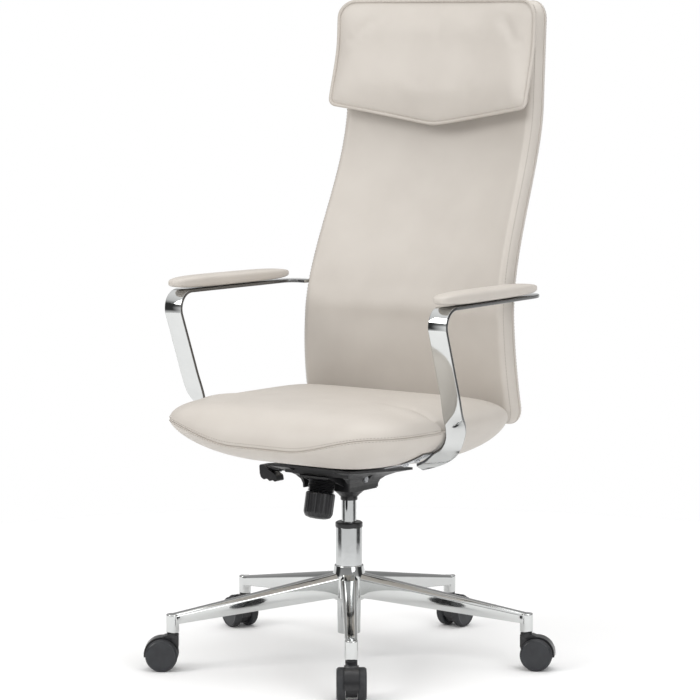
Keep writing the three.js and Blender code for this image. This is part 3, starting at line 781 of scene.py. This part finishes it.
def seat_plan(share, angle):
    reach = seat_reach(angle) * share
    y = SEAT_CENTRE_Y + reach * np.sin(angle)
    x = reach * np.cos(angle) * (1 - 0.035 * np.maximum(0, y - SEAT_CENTRE_Y) / SEAT_REAR)
    return x, y


def seat_surface(level, angle):
    """A point of the seat's skin. Level runs from 0, the crown, through 1, the seam, to 2, below."""
    top = level <= 1
    t = np.where(top, level, 2 - level)
    share = 1 - (1 - t) ** 2.4
    x, y = seat_plan(share, angle)
    seam = seat_seam(x, y)
    over = (SEAT_CROWN - seam) * np.sqrt(np.maximum(0, 1 - share**6))
    floor = PLATE_TOP - SEAT_PITCH * y + 1
    under = (seam - floor) * np.maximum(0, 1 - share**2.3) ** 0.58
    return np.stack([x, y, np.where(top, seam + over, seam - under)], axis=-1)


# The crease behind the thigh roll, on the left, from the seam inwards.
CREASE = [(282, -80), (268, -84), (256, -95), (234, -93), (199, -81), (168, -73), (114, -56), (80, -48)]


def bump(x, width):
    """A smooth rise to 1 where x is 0."""
    return np.exp(-((x / width) ** 2))


def crease_depth(x, y):
    """How far the crease pulls the skin in, and the roll in front of it lets it out."""
    across, along = np.array(CREASE[::-1], float).T
    ahead = y - np.interp(np.abs(x), across, along)
    fade = smoothstep(np.abs(x), 92, 225)
    wide = lerp(20, 9, fade)
    valley = np.where(ahead < 0, bump(ahead, 0.45 * wide), bump(ahead, 1.7 * wide))
    roll = bump(ahead + 26, 20)
    return fade * (9.5 * valley - 3 * roll)


def build_seat():
    """The seat is shaped by these formulas alone, without cloth."""
    rows, columns = 121, 288
    level = np.linspace(0, 2, rows)[:, None] + np.zeros(columns)
    angle = np.linspace(0, 2 * math.pi, columns, endpoint=False)[None, :] + np.zeros((rows, 1))
    fine = seat_surface(level, angle)
    outward = grid_normals(fine, wrap=True)
    outward[0] = (0, 0, 1)
    outward[-1] = (0, 0, -1)
    sewn = 1 - smoothstep(fine[..., 1], -92, -74)
    groove = 2.8 * bump(level - 1, 0.02) * sewn
    crease = np.where(level < 1.02, crease_depth(fine[..., 0], fine[..., 1]), 0)
    fine = fine - outward * (groove + crease)[..., None]
    pad = add_piece(
        "seat_upholstery", fine.reshape(-1, 3), grid_faces(rows, columns, True), leather, "seat_assembly",
        "leather", ["seat_cushion", "seat_shell"], sharp=70,
    )
    for name, side in (("upper", -1), ("lower", 1)):
        row = rows // 2 + 4 * side
        in_front, raised = np.where(fine[row, :, 1] < -84)[0], 0.2
        # The crease bends the upper row's ends. Taken in order of x, they crowd the stitches there.
        if np.argmin(fine[row, in_front, 0]) != 0:
            in_front, raised = sorted(in_front, key=lambda c: fine[row, c, 0]), 0
        path, normals = fine[row, in_front], outward[row, in_front]
        stitches(f"seat_stitches_{name}", path + raised * normals, normals)


build_seat()


# ---------------------------------------------------------------- back


def back_side(z):
    foot = 25 * np.maximum(0, (620 - z) / 183) ** 2
    return 187 + foot + 0.05 * np.maximum(0, z - 640) + 101 * smoothstep(z, 640, 1040)


def back_half_width(z):
    return lerp(245, 224, smoothstep(z, 440, 960))


def back_hollow(z):
    return lerp(24, 36, smoothstep(z, BACK_BOTTOM, BACK_TOP))


def hollow_at(x, z):
    return back_hollow(z) * (1 - np.minimum(1, np.abs(x) / back_half_width(z)) ** 2.2)


def back_front(x, z):
    return back_side(z) - BACK_HALF + hollow_at(x, z)


def edge_steps(count):
    """Insets from an edge, close together where the skin turns over it."""
    return [BACK_ROUND * (1 - math.cos(math.pi / 2 * k / count)) for k in range(count)]


def across_steps(middle, round_count=12):
    """Signed places across a panel: (which side, inset from it) or a share of the middle."""
    steps = [(-1, inset) for inset in edge_steps(round_count)]
    steps += [(0, s) for s in np.linspace(-1, 1, middle)]
    return steps + [(1, inset) for inset in reversed(edge_steps(round_count))]


def back_skin(rear):
    """A [height, across] grid of the back's front or rear skin, out to the seam."""
    heights = [BACK_BOTTOM + inset for inset in edge_steps(12)]
    heights += list(np.linspace(BACK_BOTTOM + BACK_ROUND, BACK_TOP - BACK_ROUND, 110))
    heights += [BACK_TOP - inset for inset in reversed(edge_steps(12))]
    grid = []
    for z in heights:
        from_end = min(z - BACK_BOTTOM, BACK_TOP - z)
        corner = max(0.0, BACK_CORNER - from_end)
        cut = BACK_CORNER - math.sqrt(max(0.0, BACK_CORNER**2 - corner**2))
        half = back_half_width(z) - cut
        row = []
        for side, value in across_steps(49):
            x = value * (half - BACK_ROUND) if side == 0 else side * (half - value)
            from_side = back_half_width(z) - abs(x)
            qx, qz = max(BACK_CORNER - from_side, 0), max(BACK_CORNER - from_end, 0)
            edge = BACK_CORNER - math.hypot(qx, qz) if qx > 0 or qz > 0 else min(from_side, from_end)
            fall = 1 - min(1.0, max(0.0, edge) / BACK_ROUND)
            swell = math.sqrt(max(0.0, 1 - fall**2))
            depth = lerp(BACK_SEAM, 1.0 if rear else -1.0, swell)
            y = back_side(z) + BACK_HALF * depth + hollow_at(x, z) * lerp(1, 1.2, (depth + 1) / 2)
            row.append((x, y, z))
        grid.append(row)
    return np.array(grid)


def outline_of(grid):
    """The points round a grid's rim, in order."""
    return np.concatenate([grid[0], grid[1:, -1], grid[-1, -2::-1], grid[-2:0:-1, 0]])


def sew(grid, outward, reach=2):
    """Draws a skin's rim in a little, where the seam bites."""
    made = grid.copy()
    for k in range(reach):
        pull = (1.6, 0.7)[k]
        for where in ((k, slice(None)), (-1 - k, slice(None)), (slice(None), k), (slice(None), -1 - k)):
            made[where] -= outward[where] * pull * 0.6
    return made


def build_back():
    # The cloth's pressure points rearwards here, so it draws the skin back, by about 4 mm at most.
    front = pressed(back_skin(False), (45, 25), (3, 4), True, 2.0, 6)
    rear = back_skin(True)
    panels = {}
    for name, grid, towards in (("front", front, -1), ("rear", rear, 1)):
        outward = towards * grid_normals(grid)
        rows, columns = grid.shape[:2]
        inner = grid.reshape(-1, 3)
        lining = inner.copy()
        hollow = hollow_at(inner[:, 0], inner[:, 2])
        lining[:, 1] = back_side(inner[:, 2]) + BACK_HALF * BACK_SEAM + 1.1 * hollow + 0.8 * towards
        count = rows * columns
        faces = grid_faces(rows, columns) + [f[::-1] for f in grid_faces(rows, columns, start=count)]
        rim = rim_indices(rows, columns)
        faces += [(a, b, b + count, a + count) for a, b in zip(rim, rim[1:] + rim[:1])]
        node = "back_cushion" if towards < 0 else "back_shell"
        piece = add_piece(
            f"back_{name}_upholstery", np.vstack([sew(grid, outward).reshape(-1, 3), lining]), faces, leather,
            "seat_assembly", "leather", [node], sharp=60,
        )
        panels[name] = (grid, outward)
    for name, (grid, outward) in panels.items():
        at = 6 if name == "front" else 5
        path = np.concatenate([grid[at:-at, at][::-1], grid[at, at:-at], grid[at:-at, -at - 1]])
        normal = np.concatenate([outward[at:-at, at][::-1], outward[at, at:-at], outward[at:-at, -at - 1]])
        stitches(f"back_stitches_{name}", path + 0.2 * normal, normal)


def rim_indices(rows, columns):
    """Indices round a grid's rim, in order."""
    index = np.arange(rows * columns).reshape(rows, columns)
    return [*index[0], *index[1:, -1], *index[-1, -2::-1], *index[-2:0:-1, 0]]


build_back()


# ---------------------------------------------------------------- head pillow

PILLOW_HALF, PILLOW_APEX, PILLOW_RISE, PILLOW_TOP = 226.0, 1000.0, 34.0, 1235.0


def pillow_edge(x):
    """Height of the pillow's lower edge."""
    return PILLOW_APEX + PILLOW_RISE * np.sqrt((x / PILLOW_HALF) ** 2 + 0.004)


def pillow_stand(z):
    """How far the pillow's rim stands off the back."""
    return 9 + 26 * (1 - smoothstep(z, 1005, 1165))


def pillow_face(a, c):
    """A point of the pillow's rim plane, where a and c run from -1 to 1."""
    lower, upper = 14.0, 34.0
    x = a * PILLOW_HALF
    bottom = pillow_edge(x)
    z = lerp(bottom, PILLOW_TOP, (c + 1) / 2)
    low_end, high_end = z - bottom, PILLOW_TOP - z
    radius = np.where(low_end < high_end, lower, upper)
    corner = np.maximum(0, radius - np.minimum(low_end, high_end))
    cut = radius - np.sqrt(np.maximum(0, radius**2 - corner**2))
    x = a * (PILLOW_HALF - cut)
    return x, z


def build_pillow():
    rows, columns = 97, 145
    a = np.sin(np.linspace(-1, 1, columns) * math.pi / 2 * 0.999)[None, :] * np.ones((rows, 1))
    c = np.sin(np.linspace(-1, 1, rows) * math.pi / 2 * 0.999)[:, None] * np.ones((1, columns))
    a = np.clip(a / a[0, -1], -1, 1)
    c = np.clip(c / c[-1, 0], -1, 1)
    x, z = pillow_face(a, c)
    rim_depth = back_front(x, z) - pillow_stand(z)
    over = np.maximum(0, 1 - np.abs(a) ** 9) ** 0.7 * np.maximum(0, 1 - np.abs(c) ** 6) ** 0.7
    puff = 13 * over + 10 * (1 - a**2) * (1 - c**2)
    front = np.stack([x, rim_depth - puff, z], axis=-1)
    rear = np.stack([x, np.minimum(rim_depth + 9 * over + 3, back_front(x, z) - 1.5), z], axis=-1)
    front = pressed(front, (25, 41), (1, 1), False, 2.5, 5)
    above = z - pillow_edge(x)
    ripple = np.sin(x / 7.3 + 1.3 * np.sin(x / 31)) * np.sin(x / 47 + 0.7)
    front[..., 1] += 0.55 * ripple * np.exp(-((above - 16) / 24) ** 2) * over
    count = rows * columns
    faces = grid_faces(rows, columns) + [f[::-1] for f in grid_faces(rows, columns, start=count)]
    rim = rim_indices(rows, columns)
    faces += [(i, j, j + count, i + count) for i, j in zip(rim, rim[1:] + rim[:1])]
    pillow = add_piece(
        "head_pillow_upholstery", np.vstack([front.reshape(-1, 3), rear.reshape(-1, 3)]), faces, leather,
        "seat_assembly", "leather", ["head_pillow"], sharp=70,
    )
    path = outline_of(front)
    keep = np.concatenate([[True], np.linalg.norm(np.diff(path, axis=0), axis=1) > 0.6])
    path = path[keep]
    middle = np.array((0, 0, path[:, 2].mean()))
    outward = (path - middle) * (1, 0, 1)
    outward /= np.linalg.norm(outward, axis=1)[:, None]
    path = path + 1.6 * outward + (0, -1.6, 0)
    cord = tube_along(path, 3.5, 12, closed=True)
    add_piece("head_pillow_piping", *cord, piping, "seat_assembly", "leather", sharp=80)


build_pillow()


# ---------------------------------------------------------------- arms


def unit(v):
    v = np.array(v, float)
    return v / np.linalg.norm(v)


FOOT_EDGES = np.array(
    [
        [(279, -104, 530), (319.5, -104, 530)],
        [(276, -92, 494), (317, -90, 494)],
        [(276, -84, 466), (312, -72, 472)],
        [(272, -80, 447), (300, -57, 452)],
        [(261, -77, 430), (281, -45, 424)],
        [(243, -74, 419), (261, -40, 406)],
        [(222, -72, 402.5), (234, -41, 393)],
        [(203, -70, 393.5), (198, -42, 382)],
    ],
    float,
)


def arm_frames():
    """Frames along the left arm's bar: centre, half the width across, and the face's way."""
    up = np.array((0, 0, 1.0))
    frames = [(np.array((236.5, 196, RAIL_Z)), np.array((0, BAR_HALF_WIDTH, 0)), up)]
    for degrees in np.linspace(90, 0, 13):
        t = math.radians(degrees)
        out = np.array((math.cos(t), math.sin(t), 0))
        frames.append((np.array((250.5, 156, RAIL_Z)) + out * 40, out * BAR_HALF_WIDTH, up))
    for share in np.linspace(0.1, 0.9, 9):
        centre = lerp(np.array((290.5, 156, RAIL_Z)), np.array((302, -116, RAIL_Z)), share)
        frames.append((centre, np.array((BAR_HALF_WIDTH, 0, 0)), up))
    for degrees in np.linspace(0, 110, 19):
        t = math.radians(degrees)
        out = np.array((0, -math.sin(t), math.cos(t)))
        frames.append((np.array((302, -116, RAIL_Z - 32)) + out * 32, np.array((BAR_HALF_WIDTH, 0, 0)), out))
    bend_end = frames[-1]
    top_edge = np.array([bend_end[0] - bend_end[1], bend_end[0] + bend_end[1]])
    straight = [lerp(top_edge, FOOT_EDGES[0], share) for share in (0, 0.3, 0.6, 0.8)]
    edges = np.array([*straight, *FOOT_EDGES])
    fine = np.stack([spread(edges[:, k : k + 1], 78, 2)[1:, 0] for k in (0, 1)], axis=1)
    middle = fine.mean(axis=1)
    along = np.gradient(middle, axis=0)
    for centre, (inner, outer), way in zip(middle, fine, along):
        across = (outer - inner) / 2
        frames.append((centre, across, unit(np.cross(way, across))))
    return frames


def bar_section():
    """A flat bar's section: shares of the half width, and mm along the face."""
    u, v = BAR_HALF_WIDTH, BAR_HALF_THICKNESS
    outline = fillet([(-u, -v), (u, -v), (u, v), (-u, v)], 1.7, 4, closed=True)
    return [(u / BAR_HALF_WIDTH, v) for u, v in outline]


def narrow_edge(step, around):
    """Whether a step round the bar's section lies on one of its two narrow edges."""
    section = bar_section()
    here, after = section[step], section[(step + 1) % around]
    return abs(here[0] + after[0]) / 2 > 0.96


def signed(values, power):
    """Each value raised to a power, with its sign kept."""
    return np.sign(values) * np.abs(values) ** power


def pad_surface():
    """An arm pad on the left rail: a rounded block, narrower behind."""
    rows, columns = 41, 72
    polar = np.linspace(-math.pi / 2, math.pi / 2, rows)[:, None]
    turn = np.linspace(0, 2 * math.pi, columns, endpoint=False)[None, :]
    px = np.cos(polar) * np.cos(turn)
    py = np.cos(polar) * np.sin(turn)
    pz = np.sin(polar) * np.ones_like(turn)
    y = 16 + signed(py, 0.5) * 168
    share = (y + 152) / 336
    x = lerp(303, 289, share) + 24.5 * signed(px, 0.6)
    z = 704.3 + signed(pz, 0.6) * np.where(pz > 0, 13 - 2.5 * share, 11.2)
    return np.stack([x, y, z + 0 * x], axis=-1).reshape(-1, 3), grid_faces(rows, columns, closed=True)


def shell_under(share, y):
    floor = PLATE_TOP - SEAT_PITCH * y + 1
    return SEAM_SIDE - (SEAM_SIDE - floor) * max(0, 1 - share**2.3) ** 0.58


def bracket_solid():
    """A pressed plate under the shell's flank."""
    rows = [(x, shell_under(x / SEAT_HALF_WIDTH, -77) - 2.4) for x in np.linspace(150, 236, 15)]
    outline = rows + [(x, z - 2.0) for x, z in reversed(rows)]
    points, faces = prism(outline, -96, -58)
    return points, faces


def screw_solid(x):
    """A low screw head with a hexagonal socket, square to the bracket's slope."""
    share = x / SEAT_HALF_WIDTH
    step = 5 / SEAT_HALF_WIDTH
    slope = math.atan2(shell_under(share + step, -77) - shell_under(share - step, -77), 10)
    under = shell_under(share, -77) - 5.2
    corners = [(0, 0), (5.5, 0), (5.5, -2.0), (4.2, -3.5), (2.6, -3.5), (2.3, -1.4), (0, -1.4)]
    points, faces = turned(fillet(corners, 0.35, 3), 24)
    c, s = math.cos(-slope), math.sin(-slope)
    px, py, pz = points.T
    return np.stack([px * c + pz * s, py, -px * s + pz * c], axis=1) + (x, -86, under), faces


def build_arms():
    bar = swept(arm_frames(), bar_section())
    pad = pad_surface()
    bracket = bracket_solid()
    for side, sided in (("left", np.array), ("right", mirror_x)):
        made = add_piece(
            f"arm_bar_{side}_chrome", sided(bar[0]), bar[1], chrome, "seat_assembly", "chrome_arm",
            [f"arm_frame_{side}"], sharp=50, weld=False,
        )
        # The bar's narrow edges take the second, dark chrome: painted dark reflection streaks, not a finish
        # of their own.
        made.data.materials.append(chrome_painted_dark_reflection)
        around = len(bar_section())
        for number, face in enumerate(made.data.polygons[: len(bar[1]) - 2]):
            if narrow_edge(number % around, around):
                face.material_index = 1
        cushion = add_piece(
            f"arm_pad_{side}_upholstery", sided(pad[0]), pad[1], leather, "seat_assembly", "leather",
            [f"arm_pad_{side}"], sharp=70,
        )
        plate = add_piece(
            f"arm_bracket_{side}_pressed", sided(bracket[0]), bracket[1], zinc, "seat_assembly",
            "plain_steel", [f"arm_bracket_{side}"],
        )
        add_bevel(plate, 0.4)
        for place, x in (("outer", 215), ("inner", 190)):
            points, faces = screw_solid(x)
            add_piece(
                f"arm_screw_{place}_{side}_head", sided(points), faces, zinc, "seat_assembly",
                "plain_steel", [f"arm_screw_{place}_{side}"],
            )


build_arms()


# ---------------------------------------------------------------- studio

# Brightness of the studio by height, from straight down (-1) to straight up (1): towards the camera
# and behind the chair, and at the two sides, which stay dim so that chrome has something to mirror.
ALONG_VIEW = [(-1.0, 1.0), (0.03, 1.0), (0.12, 0.40), (0.34, 0.28), (0.52, 0.85), (1.0, 1.15)]
AT_SIDES = [(-1.0, 1.0), (-0.40, 0.75), (-0.20, 0.05), (0.32, 0.04), (0.55, 0.75), (1.0, 1.15)]
FLOOR_RADIUS = 1.7


def add_ramp(tree, value, stops):
    """A ramp of greys over heights from -1 to 1."""
    spread_out = add_range(tree, value, 0, 1, -1, 1)
    ramp = tree.nodes.new("ShaderNodeValToRGB")
    tree.links.new(spread_out, ramp.inputs["Fac"])
    for number, (height, tone) in enumerate(stops):
        if number < 2:
            stop = ramp.color_ramp.elements[number]
            stop.position = (height + 1) / 2
        else:
            stop = ramp.color_ramp.elements.new((height + 1) / 2)
        stop.color = (tone, tone, tone, 1)
    return ramp.outputs["Color"]


def build_world():
    world = bpy.data.worlds.new("studio")
    bpy.context.scene.world = world
    world.use_nodes = True
    tree = world.node_tree
    place = tree.nodes.new("ShaderNodeTexCoord")
    split = tree.nodes.new("ShaderNodeSeparateXYZ")
    tree.links.new(place.outputs["Generated"], split.inputs["Vector"])
    facing = tree.nodes.new("ShaderNodeVectorMath")
    facing.operation = "DOT_PRODUCT"
    facing.inputs[1].default_value = (math.sin(VIEW_TURN), -math.cos(VIEW_TURN), 0)
    tree.links.new(place.outputs["Generated"], facing.inputs[0])
    size = tree.nodes.new("ShaderNodeMath")
    size.operation = "ABSOLUTE"
    tree.links.new(facing.outputs["Value"], size.inputs[0])
    mix = tree.nodes.new("ShaderNodeMix")
    mix.data_type = "RGBA"
    tree.links.new(add_range(tree, size.outputs["Value"], 0, 1, 0.25, 0.46), mix.inputs["Factor"])
    tree.links.new(add_ramp(tree, split.outputs["Z"], AT_SIDES), mix.inputs[6])
    tree.links.new(add_ramp(tree, split.outputs["Z"], ALONG_VIEW), mix.inputs[7])
    tree.links.new(mix.outputs[2], tree.nodes["Background"].inputs["Color"])


def build_studio():
    turns = np.linspace(0, 2 * math.pi, 128, endpoint=False)
    rim = [(FLOOR_RADIUS * math.cos(t), FLOOR_RADIUS * math.sin(t), 0) for t in turns]
    mesh = add_mesh("studio_floor", rim, [range(len(rim))])
    floor = add_object("studio_floor", mesh)
    made, tree, bsdf = shader("studio_floor_paint", Roughness=0.75)
    add_tones(tree, bsdf, add_noise(tree, 3, 2), (0.95, 0.95, 0.95), (0.97, 0.97, 0.97))
    mesh.materials.append(made)

    for name, place, target, size, power, tint in (
        ("key", (-1.9, -3.4, 2.9), (0, 0, 0.7), 2.0, 68, (1.0, 0.99, 0.975)),
        ("fill", (3.9, -1.4, 2.1), (0, 0, 0.6), 2.0, 46, (0.98, 0.99, 1.0)),
        ("top", (0.3, 0.6, 3.8), (0, 0, 0.5), 2.6, 34, (1.0, 1.0, 1.0)),
    ):
        light = bpy.data.lights.new(name, "AREA")
        light.size = size
        light.energy = power
        light.color = tint
        lamp = add_object(name, light)
        lamp.location = place
        lamp.rotation_euler = (Vector(target) - Vector(place)).to_track_quat("-Z", "Y").to_euler()


def build_camera():
    data = bpy.data.cameras.new("camera")
    data.sensor_width = 36
    data.lens = VIEW_LENS
    data.clip_end = 100
    camera = add_object("camera", data)
    x = VIEW_DISTANCE * math.sin(VIEW_TURN) + VIEW_SHIFT[0]
    y = -VIEW_DISTANCE * math.cos(VIEW_TURN) + COLUMN_Y / 1000 + VIEW_SHIFT[1]
    camera.location = (x, y, VIEW_HEIGHT)
    level = math.cos(VIEW_FALL)
    way = Vector((-math.sin(VIEW_TURN) * level, math.cos(VIEW_TURN) * level, -math.sin(VIEW_FALL)))
    camera.rotation_euler = way.to_track_quat("-Z", "Y").to_euler()
    bpy.context.scene.camera = camera


build_world()
build_studio()
build_camera()

bpy.context.scene.view_settings.view_transform = "Standard"
bpy.context.view_layer.update()
